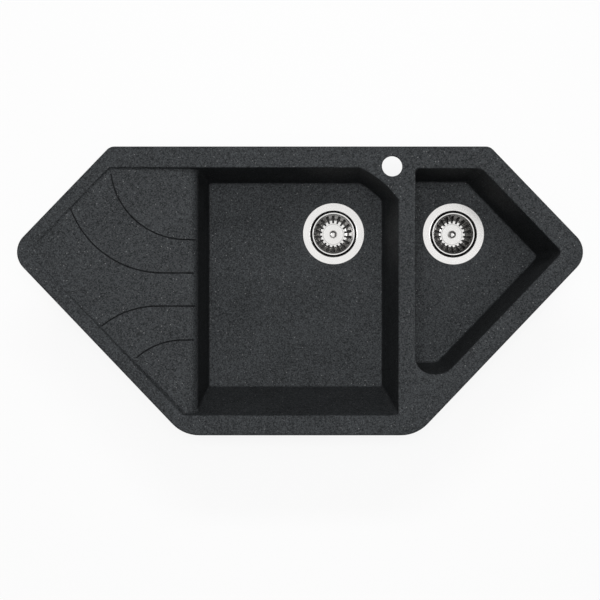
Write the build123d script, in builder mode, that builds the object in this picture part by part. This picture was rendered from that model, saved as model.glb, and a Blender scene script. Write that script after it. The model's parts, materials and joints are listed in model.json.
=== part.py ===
from build123d import *
import math
import os

# Corner kitchen sink of stone composite: drainer, main bowl, half bowl and two basket strainer wastes.
#
# Millimetres. +X is to the right, +Y to the back and +Z up. Z = 0 is the worktop's surface, on which
# the rim rests, and the origin is the middle of the deck.

os.makedirs("parts", exist_ok=True)

# ---------------------------------------------------------------- deck
overall_width = 960.0  # from tip to tip
overall_depth = 490.0  # from the back edge to the front edge
rim_height = 8.0  # the rim's top above the worktop
front_edge_width = 395.9  # between the two front corners, before they are rounded
back_diagonal_angle = 46.1  # slope of the two diagonals behind the tips, in degrees
front_diagonal_angle = 46.35  # slope of the two diagonals in front of the tips
tip_radius = 38.0
back_corner_radius = 18.0
front_corner_radius = 63.0
rim_edge_radius = 5.0  # rounding of the rim's outer edge
least_corner_radius = 1.0  # what is left of a corner's radius on a line far inside it
cut_overlap = 1.0  # a shape that only joins or cuts reaches this far past the surface there

# ---------------------------------------------------------------- underside
seat_width = 13.0  # ring of the underside that lies on the worktop
rib_width = 14.0  # downstand inside the seat, which the clamps are fixed to
rib_depth = 14.0
deck_skin = 2.0  # how far the deck reaches below the worktop's surface, inside the seat
wall_thickness = 9.0
floor_thickness = 10.0

# ---------------------------------------------------------------- main bowl
bowl_depth = 190.0  # from the rim's top to the floor
main_left_set_in = 20.95  # along X, from the deck's front left corner to the bowl
main_back_inset = 36.0  # from the deck's back edge to the bowl
main_front_inset = 34.0  # from the deck's front edge to the bowl
divider_width = 29.1  # between the two bowls
# how far each wall leans inwards from the rim to the floor
main_left_lean, main_right_lean = 9.7, 15.9
main_back_lean, main_front_lean = 9.5, 36.7
main_front_corner_radius = 6.0
basin_inner_radius = 5.0  # rounding inside the bowls and along the drainer's border
basin_edge_radius = 2.5  # rounding of the edge from the deck down into a bowl

# The bowl's back right corner is a large arc, which leaves room for the tap ledge.
ledge_arc_right_gap, ledge_arc_back_gap = 134.5, 150.9  # from the arc's middle to the bowl's sides
ledge_arc_radius = 165.7
ledge_arc_lean = 4.0

# ---------------------------------------------------------------- drainer
drainer_inset = 23.5  # from the deck's outline to the drainer's border
drainer_tip_depth = 3.5  # below the rim's top, at the left tip
drainer_fall_radius = 3870.0  # the drainer falls towards the bowl ever more steeply
drainer_border_draft = 20.0  # slope of the drainer's border, from upright
drainer_tip_radius = 20.0
roll_radius = 25.0  # where the drainer rolls over into the bowl
groove_width = 2.6
groove_depth = 2.2
# Each groove: the middle of its arc, from the main bowl's nearest left corner, the arc's radius, its
# first direction and how far it bends, in degrees, and how far before the bowl the groove ends.
back_grooves = [
    (-18.1, 5.4, 126.8, 187.0, 83.0, 1.0),
    (-57.1, -13.7, 164.7, 199.0, 71.0, 5.0),
]
front_grooves = [
    (-65.9, 38.5, 146.7, 130.0, -40.0, 3.0),
    (-23.9, 13.3, 113.9, 133.0, -43.0, 5.0),
]

# ---------------------------------------------------------------- divider and half bowl
half_bowl_reach = 284.2  # from the right tip to the half bowl's left side
half_back_inset = 37.4  # from the deck's back edge to the half bowl
half_tip_back_inset = 36.5  # from the diagonal behind the right tip
half_tip_front_inset = 36.0  # from the diagonal in front of it
half_front_width = 51.3  # of the half bowl's front side, before its corners are rounded
# For the half bowl's sides, from the left one clockwise: how far each wall leans inwards, and the
# radii of the corner that follows it, at the rim and at the floor.
half_leans = (4.7, 5.6, 6.0, 4.0, 10.8)
half_rim_radii = (6.0, 17.0, 8.0, 40.0, 30.0)
half_floor_radii = (7.0, 10.0, 9.0, 20.0, 7.0)
surround_drop = 1.5  # the half bowl's rim lies lower than the tap ledge
surround_back_width = 25.0
surround_front_width = 6.0
surround_flat_gap = 0.2  # flat strip between the rounded rim of the half bowl and the slope round it
crown_radius = 26.6  # the divider's top is rounded on both sides
left_crown_drop = 3.4
crown_front_gap, crown_back_gap = 51.3, 47.6  # from the half bowl's ends to the crown's full depth
crown_front_fade, crown_back_fade = 50.0, 70.0
crown_end_drop = 0.05  # what is left of the crown at its ends
least_crown_edge = 0.05  # the half bowl's rim has its own rounding beside the crown

# ---------------------------------------------------------------- tap hole
tap_before_half_bowl = 39.5  # along X, from the tap hole's middle to the half bowl
tap_back_inset = 33.6  # from the deck's back edge
tap_hole_diameter = 35.0
tap_nut_room_diameter = 50.0  # cleared below the deck for the tap's nut
tap_hole_edge_radius = 1.0

# ---------------------------------------------------------------- wastes
main_waste_right_gap, main_waste_back_gap = 105.0, 102.5  # from its middle to the bowl's rim
half_waste_left_gap, half_waste_back_gap = 86.5, 101.5
outlet_hole_radius = 45.0  # in the bowls' floors
flange_radius = 56.0
flange_side_gap = 0.6
flange_below_floor = 0.2
gasket_side_gap = 1.5  # from the outlet hole's edge to the gaskets
flange_gasket_thickness = 1.2
cup_sheet = 1.0
cup_bore_radius = 41.5
cup_depth = 33.0  # from the bowl's floor to the bottom of the cup
cup_lip_radius = 3.0
cup_bottom_radius = 6.0
drain_hole_count = 6
drain_hole_radius = 4.5
drain_hole_circle = 12.0
under_gasket_thickness = 2.0
housing_wall = 3.0
housing_cup_gap = 1.5
housing_flange_radius = 58.0
housing_flange_thickness = 3.5
housing_straight_depth = 44.0  # from the bowl's floor to where the housing narrows
housing_funnel_height = 14.0
housing_funnel_drop = 1.7  # the funnel's outside lies this much lower, to keep the wall's thickness
outlet_thread_radius = 23.9  # outside of the 1 1/2 inch pipe thread
outlet_tail_length = 26.0
spider_clear_of_cup = 3.0
spider_boss_radius = 8.0
spider_boss_height = 12.0
spider_rib_count = 3
spider_rib_thickness = 3.0
spider_rib_height = 7.0
waste_screw_radius = 3.0
waste_screw_hole_gap = 0.2
waste_screw_length = 17.0
waste_screw_head_radius = 6.0
waste_screw_head_height = 2.5
waste_screw_head_edge_radius = 1.0
screw_slot_width = 1.4
screw_slot_depth = 1.2
nut_corner_radius = 5.2  # from its middle to a corner
nut_length = 10.0

# ---------------------------------------------------------------- basket
basket_sheet = 0.8
basket_rim_radius = 38.7
basket_mouth_radius = 36.4
basket_bottom_radius = 27.0
basket_below_floor = 2.0
basket_depth = 24.0
basket_rim_bend_radius = 1.2
basket_bottom_bend_radius = 8.0
basket_slot_count = 18
basket_slot_start, basket_slot_end = 20.6, 33.8  # radii
basket_slot_start_width, basket_slot_end_width = 2.4, 4.4
basket_slot_corner_radius = 0.8
plate_radius = 18.8
plate_thickness = 1.0
plate_edge_radius = 0.4
stem_radius = 3.0
stem_hole_gap = 0.05
knob_radius = 7.0
knob_height = 11.0
knob_neck_radius = 4.0
knob_neck_height = 5.0
knob_top_radius = 3.0
seal_radius = 22.5
seal_top_radius = 20.5
seal_web_thickness = 2.0
seal_foot_width = 4.0
seal_clear_of_cup = 0.1
plug_washer_radius = 9.0
plug_washer_thickness = 1.2

# ---------------------------------------------------------------- clamps
clamp_spacing = 250.0  # between the three clamps at the back; every other side has one in its middle
# Each clamp: the side of the deck that it belongs to (its place in the list of sides), how far along
# that side it lies from the middle, and the way that it is parked along the side. Both count
# anticlockwise, seen from above.
clamp_places = [
    (0, -clamp_spacing, 1.0),
    (0, 0.0, 1.0),
    (0, clamp_spacing, -1.0),
    (1, 0.0, 1.0),
    (2, 0.0, -1.0),
    (3, 0.0, 1.0),
    (4, 0.0, 1.0),
    (5, 0.0, -1.0),
]
clamp_inset = 20.0  # from the deck's outline to the clamp's screw
clamp_width = 12.0
clamp_reach = 32.0  # from the screw to the clamp's outer end
clamp_sheet = 2.0
clamp_toe_height = 4.5
clamp_depth = 44.5  # from the worktop's surface to the clamp, for a worktop of 40 mm
clamp_bend_radius = 1.0
clamp_hole_gap = 0.1
clamp_screw_radius = 2.5
clamp_screw_head_radius = 4.6
clamp_screw_head_height = 3.5
clamp_screw_top = 4.0  # the screw ends this far below the worktop's surface
dowel_radius = 4.5
dowel_collar_radius = 6.0
dowel_collar_height = 1.0
dowel_top = 2.0  # the dowel ends this far below the worktop's surface

floor_z = rim_height - bowl_depth
surround_z = rim_height - surround_drop
surround_flat = basin_edge_radius + surround_flat_gap
upward = (Align.CENTER, Align.CENTER, Align.MIN)
downward = (Align.CENTER, Align.CENTER, Align.MAX)


# ---------------------------------------------------------------- outlines made of straight sides
def side(facing, distance):
    """A straight side: the direction that it faces, in degrees, and its distance from the origin."""
    return (math.cos(math.radians(facing)), math.sin(math.radians(facing)), distance)


def moved(straight, inset):
    """The same side, moved towards the inside of the outline."""
    return (straight[0], straight[1], straight[2] - inset)


def crossing(first, second):
    """The point where two sides cross."""
    turn = first[0] * second[1] - first[1] * second[0]
    x = (first[2] * second[1] - first[1] * second[2]) / turn
    y = (first[0] * second[2] - first[2] * second[0]) / turn
    return (x, y)


def corners(sides):
    """The corners of an outline: each side with the one that follows it."""
    return [crossing(a, b) for a, b in zip(sides, sides[1:] + sides[:1])]


def outline(sides, radii):
    """The face inside the sides, with the corner after each side rounded by its radius."""
    with BuildSketch() as face:
        with BuildLine():
            FilletPolyline(*corners(sides), radius=radii, close=True)
        make_face()
    return face.sketch


tip_half_angle = (back_diagonal_angle + front_diagonal_angle) / 2.0
tip_lean = math.radians((front_diagonal_angle - back_diagonal_angle) / 2.0)
tip_corner_reach = tip_radius / math.sin(math.radians(tip_half_angle)) * math.cos(tip_lean)
tip_corner_x = overall_width / 2.0 - tip_radius + tip_corner_reach
tip_before_front = (tip_corner_x - front_edge_width / 2.0) * math.tan(math.radians(front_diagonal_angle))
tip_corner_y = tip_before_front - overall_depth / 2.0


def diagonal(facing):
    """The side through the tip's corner that faces this way on the right of the deck."""
    straight = side(facing, 0.0)
    return side(facing, straight[0] * tip_corner_x + straight[1] * tip_corner_y)


def mirrored(straight):
    return (-straight[0], straight[1], straight[2])


back_side = side(90.0, overall_depth / 2.0)
front_side = side(-90.0, overall_depth / 2.0)
right_back_side = diagonal(90.0 - back_diagonal_angle)
right_front_side = diagonal(front_diagonal_angle - 90.0)
left_back_side = mirrored(right_back_side)
left_front_side = mirrored(right_front_side)
deck_sides = [back_side, right_back_side, right_front_side, front_side, left_front_side, left_back_side]
deck_radii = [
    back_corner_radius,
    tip_radius,
    front_corner_radius,
    front_corner_radius,
    tip_radius,
    back_corner_radius,
]


def deck_outline(inset):
    """The deck's outline, drawn in by the same distance on all sides."""
    radii = [max(radius - inset, least_corner_radius) for radius in deck_radii]
    return outline([moved(straight, inset) for straight in deck_sides], radii)


# ---------------------------------------------------------------- sides of the two bowls at the rim
half_left = overall_width / 2.0 - half_bowl_reach
half_back = overall_depth / 2.0 - half_back_inset
half_front_diagonal = moved(right_front_side, half_tip_front_inset)
half_front = crossing(half_front_diagonal, side(0.0, half_left + half_front_width))[1]
half_rim = [
    side(180.0, -half_left),
    side(90.0, half_back),
    moved(right_back_side, half_tip_back_inset),
    half_front_diagonal,
    side(-90.0, -half_front),
]
half_floor = [moved(straight, lean) for straight, lean in zip(half_rim, half_leans)]

main_left = main_left_set_in - front_edge_width / 2.0
main_right = half_left - divider_width
main_back = overall_depth / 2.0 - main_back_inset
main_front = main_front_inset - overall_depth / 2.0
ledge_arc_x = main_right - ledge_arc_right_gap
ledge_arc_y = main_back - ledge_arc_back_gap
tap_x = half_left - tap_before_half_bowl
tap_y = overall_depth / 2.0 - tap_back_inset


def at_depth(rim_value, floor_value, depth):
    """A wall's place at a depth below the rim's top, between its places at the rim and the floor."""
    return rim_value + (floor_value - rim_value) * depth / bowl_depth


def wall(straight, lean):
    """The plane of a wall below a side at the rim, which leans inwards by so much over the bowl's depth."""
    x, y, distance = straight
    return Plane(
        origin=(x * distance, y * distance, rim_height),
        z_dir=(x * bowl_depth, y * bowl_depth, -lean),
    )


# ---------------------------------------------------------------- drainer and main bowl
drainer_border_lean = math.tan(math.radians(drainer_border_draft)) * bowl_depth


def block_below_rim(drop):
    """A block as wide as the deck, from the rim's top to the bowls' floor lowered by drop."""
    with BuildPart() as block:
        with Locations((0.0, 0.0, floor_z - drop)):
            Box(overall_width, overall_depth, bowl_depth + drop, align=upward)
    return block.part


def ground_under_drainer(drop):
    """Solid below the drainer's surface and left of the bowl's left wall, lowered by drop."""
    curve_middle = rim_height - drainer_tip_depth - drainer_fall_radius
    far_left = -overall_width
    wall_rim = main_left - drop
    wall_floor = wall_rim + main_left_lean
    below = 2.0 * bowl_depth
    with BuildPart() as ground:
        with BuildSketch(Plane.XZ):
            with Locations((-tip_corner_x, curve_middle)):
                Circle(drainer_fall_radius - drop)
            with BuildLine():
                Polyline(
                    (far_left, rim_height),
                    (at_depth(wall_rim, wall_floor, 0.0), rim_height),
                    (at_depth(wall_rim, wall_floor, below), rim_height - below),
                    (far_left, rim_height - below),
                    close=True,
                )
            make_face(mode=Mode.INTERSECT)
        extrude(amount=overall_depth, both=True)
        top_edge = ground.edges().filter_by(Axis.Y).group_by(Axis.Z)[-1].sort_by(Axis.X)[-1]
        fillet(top_edge, roll_radius - drop)
    return ground.part


def corner_behind_arc(grown):
    """What lies behind the large arc at the main bowl's back right corner."""
    over = bowl_depth / 2.0
    rim_radius = ledge_arc_radius + grown
    floor_radius = rim_radius - ledge_arc_lean
    top_radius = at_depth(rim_radius, floor_radius, -over)
    low_radius = at_depth(rim_radius, floor_radius, bowl_depth + over)
    height = bowl_depth + 2.0 * over
    with BuildPart() as behind:
        with Locations((ledge_arc_x, ledge_arc_y, floor_z - over)):
            Box(2.0 * rim_radius, 2.0 * rim_radius, height, align=(Align.MIN, Align.MIN, Align.MIN))
            Cone(low_radius, top_radius, height, align=upward, mode=Mode.SUBTRACT)
    return behind.part


def main_basin(grown, drop):
    """The space of the drainer and the main bowl, grown sideways and lowered by so much."""
    back_wall = wall(side(90.0, main_back + grown), main_back_lean)
    front_wall = wall(side(-90.0, -main_front + grown), main_front_lean)
    right_wall = wall(side(0.0, main_right + grown), main_right_lean)
    bowl_left = side(180.0, -main_left + drop + cut_overlap)
    with BuildPart() as bowl:
        add(block_below_rim(drop))
        split(bisect_by=back_wall, keep=Keep.BOTTOM)
        split(bisect_by=front_wall, keep=Keep.BOTTOM)
        split(bisect_by=right_wall, keep=Keep.BOTTOM)
        split(bisect_by=wall(bowl_left, 0.0), keep=Keep.BOTTOM)
        front_corner = bowl.edges().sort_by_distance((main_right, main_front, rim_height))[0:3]
        upright = [edge for edge in front_corner if abs(edge.tangent_at(0.5).Z) > 0.5]
        fillet(upright, main_front_corner_radius + grown)
        add(corner_behind_arc(grown), mode=Mode.SUBTRACT)
    with BuildPart() as drainer:
        add(block_below_rim(drop))
        split(bisect_by=back_wall, keep=Keep.BOTTOM)
        split(bisect_by=front_wall, keep=Keep.BOTTOM)
        split(bisect_by=wall(side(0.0, main_left / 2.0), 0.0), keep=Keep.BOTTOM)
        for border in (left_front_side, left_back_side):
            border_wall = wall(moved(border, drainer_inset - grown), drainer_border_lean)
            split(bisect_by=border_wall, keep=Keep.BOTTOM)
    with BuildPart() as basin:
        add(bowl.part)
        add(drainer.part)
        add(ground_under_drainer(drop), mode=Mode.SUBTRACT)
        tip_edge = basin.edges().group_by(Axis.X)[0]
        fillet(tip_edge, drainer_tip_radius + grown)
    return basin.part


# ---------------------------------------------------------------- half bowl
def grown_by(sides, amounts):
    """The sides, each moved outwards by its own amount."""
    return [moved(straight, -amount) for straight, amount in zip(sides, amounts)]


def half_outline(sides, radii, grown):
    """The half bowl's outline, drawn out by the same distance on all sides."""
    amounts = [grown] * len(sides)
    return outline(grown_by(sides, amounts), [radius + grown for radius in radii])


def half_basin(grown, drop):
    """The half bowl's space, grown sideways and lowered by so much."""
    with BuildPart() as basin:
        with BuildSketch(Plane.XY.offset(surround_z)):
            add(half_outline(half_rim, half_rim_radii, grown))
        with BuildSketch(Plane.XY.offset(floor_z - drop)):
            add(half_outline(half_floor, half_floor_radii, grown))
        loft(ruled=True)
    return basin.part


# ---------------------------------------------------------------- divider between the bowls
def crown_section(y, wall_x, drop, edge_radius, way):
    """What is cut from the divider's top at this Y: a flat arc that starts level with the deck, and
    then a small one that turns down at the wall. way is the direction along X to that wall."""
    half_chord = math.sqrt(2.0 * crown_radius * drop - drop * drop)
    slope = math.asin(half_chord / crown_radius)
    edge_x = wall_x - way * edge_radius * (1.0 - math.sin(slope))
    edge_z = rim_height - drop
    foot_z = edge_z - edge_radius * math.cos(slope)
    crest_x = edge_x - way * half_chord
    over = rim_height + cut_overlap
    down_slope = (way * math.cos(slope), -math.sin(slope))
    with BuildSketch(Plane.XZ.offset(-y)) as section:
        with BuildLine():
            TangentArc((crest_x, rim_height), (edge_x, edge_z), tangent=(way, 0.0))
            TangentArc((edge_x, edge_z), (wall_x, foot_z), tangent=down_slope)
            Polyline((wall_x, foot_z), (wall_x, over), (crest_x, over), (crest_x, rim_height))
        make_face()
    return section.sketch


def crown_cut(wall_x, drop, edge_radius, way):
    """The rounding along one side of the divider, which runs out at its ends."""
    crown_front = half_front + crown_front_gap
    crown_back = half_back - crown_back_gap
    stations = [
        (crown_front - crown_front_fade, crown_end_drop),
        (crown_front, drop),
        (crown_back, drop),
        (crown_back + crown_back_fade, crown_end_drop),
    ]
    with BuildPart() as cut:
        for y, here in stations:
            add(crown_section(y, wall_x, here, edge_radius, way))
        loft(ruled=True)
    return cut.part


# ---------------------------------------------------------------- grooves of the drainer
def groove_line(corner_y, across, along, radius, start_angle, bend, end_gap):
    """An arc from the drainer's border that ends level with the X axis, and runs on to the roll."""
    middle_x = main_left + across
    middle_y = corner_y + along
    end_y = middle_y + radius * math.sin(math.radians(start_angle + bend))
    with BuildSketch() as strip:
        with BuildLine():
            CenterArc((middle_x, middle_y), radius, start_angle, bend)
            Line((middle_x, end_y), (main_left - end_gap, end_y))
        trace(line_width=groove_width)
    return strip.sketch


with BuildPart() as grooves:
    with BuildSketch(Plane.XY.offset(rim_height - 2.0 * roll_radius)):
        for groove in back_grooves:
            add(groove_line(main_back, *groove))
        for groove in front_grooves:
            add(groove_line(main_front, *groove))
    extrude(amount=2.0 * roll_radius)
    add(main_basin(0.0, groove_depth), mode=Mode.INTERSECT)


# ---------------------------------------------------------------- sink body
with BuildPart() as main_space:
    add(main_basin(0.0, 0.0))
    top_edges = main_space.faces().sort_by(Axis.Z)[-1].edges()
    fillet(main_space.edges() - top_edges, basin_inner_radius)

with BuildPart() as half_space:
    add(half_basin(0.0, 0.0))
    fillet(half_space.faces().sort_by(Axis.Z)[0].edges(), basin_inner_radius)

# The half bowl's rim lies in a shallow slope, which is wide at the back and narrow in front.
surround_widths = (0.0, surround_back_width, surround_back_width, surround_front_width, surround_front_width)
surround_corner_growth = (0.0, surround_back_width, surround_back_width, surround_front_width, 0.0)
surround_radii = [radius + growth for radius, growth in zip(half_rim_radii, surround_corner_growth)]

with BuildPart() as surround:
    with BuildSketch(Plane.XY.offset(surround_z)):
        add(half_outline(half_rim, half_rim_radii, surround_flat))
    with BuildSketch(Plane.XY.offset(rim_height)):
        add(half_outline(grown_by(half_rim, surround_widths), surround_radii, surround_flat))
    loft(ruled=True)

with BuildPart() as left_crown:
    add(crown_cut(main_right, left_crown_drop, basin_edge_radius, -1.0))
    add(corner_behind_arc(0.0), mode=Mode.SUBTRACT)

right_crown = crown_cut(half_left - surround_flat, surround_drop, least_crown_edge, 1.0)

deck_corners = corners(deck_sides)
clamp_points = []
for number, along, parked in clamp_places:
    start, end = deck_corners[number - 1], deck_corners[number]
    facing_x, facing_y, distance = deck_sides[number]
    x = (start[0] + end[0]) / 2.0 - facing_x * clamp_inset - facing_y * along
    y = (start[1] + end[1]) / 2.0 - facing_y * clamp_inset + facing_x * along
    clamp_points.append((x, y))

main_waste = Plane((main_right - main_waste_right_gap, main_back - main_waste_back_gap, floor_z))
half_waste = Plane((half_left + half_waste_left_gap, half_back - half_waste_back_gap, floor_z))
flange_recess_depth = flange_below_floor + cup_sheet + flange_gasket_thickness

with BuildPart() as sink_body:
    with BuildSketch():
        add(deck_outline(0.0))
    extrude(amount=rim_height)
    fillet(sink_body.faces().sort_by(Axis.Z)[-1].edges(), rim_edge_radius)
    with BuildSketch():
        add(deck_outline(seat_width))
    extrude(amount=-deck_skin)
    with BuildSketch():
        add(deck_outline(seat_width))
        add(deck_outline(seat_width + rib_width), mode=Mode.SUBTRACT)
    extrude(amount=-rib_depth)
    add(main_basin(wall_thickness, floor_thickness))
    add(half_basin(wall_thickness, floor_thickness))
    add(main_space.part, mode=Mode.SUBTRACT)
    # the rim of the main bowl and the drainer, rounded before the half bowl is cut
    rim_edges = sink_body.faces().filter_by(Plane.XY).sort_by(Axis.Z)[-1].inner_wires()[0].edges()
    fillet(rim_edges, basin_edge_radius)
    add(surround.part, mode=Mode.SUBTRACT)
    add(half_space.part, mode=Mode.SUBTRACT)
    level_faces = sink_body.faces().filter_by(Plane.XY)
    flat_ring = min(level_faces, key=lambda face: abs(face.center().Z - surround_z))
    fillet(flat_ring.inner_wires()[0].edges(), basin_edge_radius)
    add(left_crown.part, mode=Mode.SUBTRACT)
    add(right_crown, mode=Mode.SUBTRACT)
    add(grooves.part, mode=Mode.SUBTRACT)
    # tap hole, with room below it for the tap's nut
    with Locations((tap_x, tap_y, -deck_skin)):
        Cylinder(tap_nut_room_diameter / 2.0, rib_depth, align=downward, mode=Mode.SUBTRACT)
    with Locations((tap_x, tap_y, rim_height)):
        Hole(tap_hole_diameter / 2.0, depth=rim_height + deck_skin)
    tap_edge = sink_body.edges().filter_by(GeomType.CIRCLE).sort_by_distance((tap_x, tap_y, rim_height))[0]
    fillet(tap_edge, tap_hole_edge_radius)
    # outlets, each with a recess for the waste's flange
    with Locations(main_waste, half_waste):
        Hole(outlet_hole_radius, depth=floor_thickness)
        Hole(flange_radius + flange_side_gap, depth=flange_recess_depth)
    # holes for the clamps' dowels
    with Locations([(x, y, -dowel_top) for x, y in clamp_points]):
        Cylinder(dowel_radius, rib_depth - dowel_top, align=downward, mode=Mode.SUBTRACT)

sink_body.part.label = "sink_body"
export_step(sink_body.part, "parts/sink_body.step")


# ---------------------------------------------------------------- wastes
def standing(place):
    """The upright plane of a profile that is turned about the middle of a place: radius, then height."""
    return Plane(origin=place.origin, x_dir=place.x_dir, z_dir=-place.y_dir)


def turned_about(place):
    return Axis(place.origin, place.z_dir)


def ring(place, top, thickness, inner_radius, outer_radius):
    """A flat ring, with its upper face at this height above the place."""
    with BuildPart() as piece:
        with BuildSketch(place.offset(top)):
            Circle(outer_radius)
            Circle(inner_radius, mode=Mode.SUBTRACT)
        extrude(amount=-thickness)
    return piece


def flange_gasket(place):
    top = -flange_below_floor - cup_sheet
    return ring(place, top, flange_gasket_thickness, outlet_hole_radius + gasket_side_gap, flange_radius)


def under_gasket(place):
    inner_radius = outlet_hole_radius + gasket_side_gap
    return ring(place, -floor_thickness, under_gasket_thickness, inner_radius, flange_radius)


def strainer_cup(place):
    """The pressed cup, whose wide flange lies in the floor's recess."""
    with BuildPart() as cup:
        with BuildSketch(standing(place)):
            with BuildLine():
                FilletPolyline(
                    (flange_radius, -flange_below_floor),
                    (cup_bore_radius, -flange_below_floor),
                    (cup_bore_radius, -cup_depth),
                    (waste_screw_radius + waste_screw_hole_gap, -cup_depth),
                    radius=[cup_lip_radius, cup_bottom_radius],
                )
                offset(amount=cup_sheet, side=Side.LEFT)
            make_face()
        revolve(axis=turned_about(place))
        with BuildSketch(place.offset(-cup_depth)):
            with PolarLocations(drain_hole_circle, drain_hole_count):
                Circle(drain_hole_radius)
        extrude(amount=-cup_sheet, mode=Mode.SUBTRACT)
    return cup


spider_top = -cup_depth - cup_sheet - spider_clear_of_cup
nut_top = spider_top - spider_boss_height + nut_length


def waste_housing(place):
    """The housing under the floor, with the threaded outlet and a spider that holds the nut."""
    top = -floor_thickness - under_gasket_thickness
    bore_radius = cup_bore_radius + cup_sheet + housing_cup_gap
    outlet_bore_radius = outlet_thread_radius - housing_wall
    funnel_end = -housing_straight_depth - housing_funnel_height
    with BuildPart() as housing:
        with BuildSketch(standing(place)):
            with BuildLine():
                Polyline(
                    (bore_radius, top),
                    (bore_radius, -housing_straight_depth),
                    (outlet_bore_radius, funnel_end),
                    (outlet_bore_radius, funnel_end - housing_funnel_drop - outlet_tail_length),
                    (outlet_thread_radius, funnel_end - housing_funnel_drop - outlet_tail_length),
                    (outlet_thread_radius, funnel_end - housing_funnel_drop),
                    (bore_radius + housing_wall, -housing_straight_depth - housing_funnel_drop),
                    (bore_radius + housing_wall, top - housing_flange_thickness),
                    (housing_flange_radius, top - housing_flange_thickness),
                    (housing_flange_radius, top),
                    close=True,
                )
            make_face()
        revolve(axis=turned_about(place))
        with BuildSketch(place.offset(spider_top)):
            Circle(spider_boss_radius)
        extrude(amount=-spider_boss_height)
        rib_length = bore_radius + housing_wall / 2.0
        with BuildSketch(place.offset(spider_top)):
            with PolarLocations(rib_length / 2.0, spider_rib_count):
                Rectangle(rib_length, spider_rib_thickness)
        extrude(amount=-spider_rib_height)
        with BuildSketch(place.offset(spider_top)):
            Circle(waste_screw_radius + waste_screw_hole_gap)
        extrude(amount=-spider_boss_height, mode=Mode.SUBTRACT)
        with BuildSketch(place.offset(nut_top)):
            RegularPolygon(nut_corner_radius, 6)
        extrude(amount=-nut_length, mode=Mode.SUBTRACT)
    return housing


def waste_screw(place):
    """The long screw in the middle, which pulls the cup and the housing together."""
    head_top = waste_screw_head_height - cup_depth
    with BuildPart() as screw:
        with BuildSketch(place.offset(-cup_depth)):
            Circle(waste_screw_head_radius)
        extrude(amount=waste_screw_head_height)
        fillet(screw.edges().group_by(Axis.Z)[-1], waste_screw_head_edge_radius)
        with BuildSketch(place.offset(head_top)):
            Rectangle(2.0 * waste_screw_head_radius, screw_slot_width)
        extrude(amount=-screw_slot_depth, mode=Mode.SUBTRACT)
        with BuildSketch(place.offset(-cup_depth)):
            Circle(waste_screw_radius)
        extrude(amount=-waste_screw_length)
    return screw


def waste_nut(place):
    with BuildPart() as nut:
        with BuildSketch(place.offset(nut_top)):
            RegularPolygon(nut_corner_radius, 6)
            Circle(waste_screw_radius, mode=Mode.SUBTRACT)
        extrude(amount=-nut_length)
    return nut


# ---------------------------------------------------------------- basket, which lifts out with its seal
basket_floor = -basket_below_floor - basket_depth
basket_underside = basket_floor - basket_sheet
stem_hole_radius = stem_radius + stem_hole_gap

with BuildSketch() as basket_slot:
    with BuildLine():
        Polyline(
            (basket_slot_start, -basket_slot_start_width / 2.0),
            (basket_slot_end, -basket_slot_end_width / 2.0),
            (basket_slot_end, basket_slot_end_width / 2.0),
            (basket_slot_start, basket_slot_start_width / 2.0),
            close=True,
        )
    make_face()
    fillet(basket_slot.vertices(), basket_slot_corner_radius)


def basket(place):
    with BuildPart() as bowl:
        with BuildSketch(standing(place)):
            with BuildLine():
                FilletPolyline(
                    (basket_rim_radius, -basket_below_floor),
                    (basket_mouth_radius, -basket_below_floor),
                    (basket_bottom_radius, basket_floor),
                    (stem_hole_radius, basket_floor),
                    radius=[basket_rim_bend_radius, basket_bottom_bend_radius],
                )
                offset(amount=basket_sheet, side=Side.LEFT)
            make_face()
        revolve(axis=turned_about(place))
        with BuildSketch(place.offset(basket_underside)):
            with PolarLocations(0.0, basket_slot_count, start_angle=90.0):
                add(basket_slot.sketch)
        extrude(amount=basket_depth + basket_sheet, mode=Mode.SUBTRACT)
    return bowl


def basket_plate(place):
    with BuildPart() as plate:
        with BuildSketch(place.offset(basket_floor)):
            Circle(plate_radius)
            Circle(stem_hole_radius, mode=Mode.SUBTRACT)
        extrude(amount=plate_thickness)
        outer_top_edge = plate.edges().group_by(Axis.Z)[-1].sort_by(SortBy.RADIUS)[-1]
        fillet(outer_top_edge, plate_edge_radius)
    return plate


def basket_knob(place):
    """The knob with its stem, which goes down through the plate, the basket, the seal and the washer."""
    plate_top = basket_floor + plate_thickness
    stem_end = basket_underside - seal_web_thickness - plug_washer_thickness
    with BuildPart() as knob:
        with BuildSketch(place.offset(stem_end)):
            Circle(stem_radius)
        extrude(amount=plate_top - stem_end)
        with BuildSketch(place.offset(plate_top)):
            Circle(knob_neck_radius)
        extrude(amount=knob_neck_height)
        with BuildSketch(place.offset(plate_top + knob_neck_height)):
            Circle(knob_radius)
        extrude(amount=knob_height - knob_neck_height)
        fillet(knob.edges().group_by(Axis.Z)[-1], knob_top_radius)
    return knob


def plug_seal(place):
    """The rubber seal: a flat web under the basket, and a foot that closes the cup's floor."""
    foot_end = seal_clear_of_cup - cup_depth
    web_end = basket_underside - seal_web_thickness
    with BuildPart() as seal:
        with BuildSketch(standing(place)):
            with BuildLine():
                Polyline(
                    (stem_hole_radius, basket_underside),
                    (seal_top_radius, basket_underside),
                    (seal_radius, web_end),
                    (seal_radius, foot_end),
                    (seal_radius - seal_foot_width, foot_end),
                    (seal_radius - seal_foot_width, web_end),
                    (stem_hole_radius, web_end),
                    close=True,
                )
            make_face()
        revolve(axis=turned_about(place))
    return seal


def plug_washer(place):
    top = basket_underside - seal_web_thickness
    return ring(place, top, plug_washer_thickness, stem_radius, plug_washer_radius)


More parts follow.
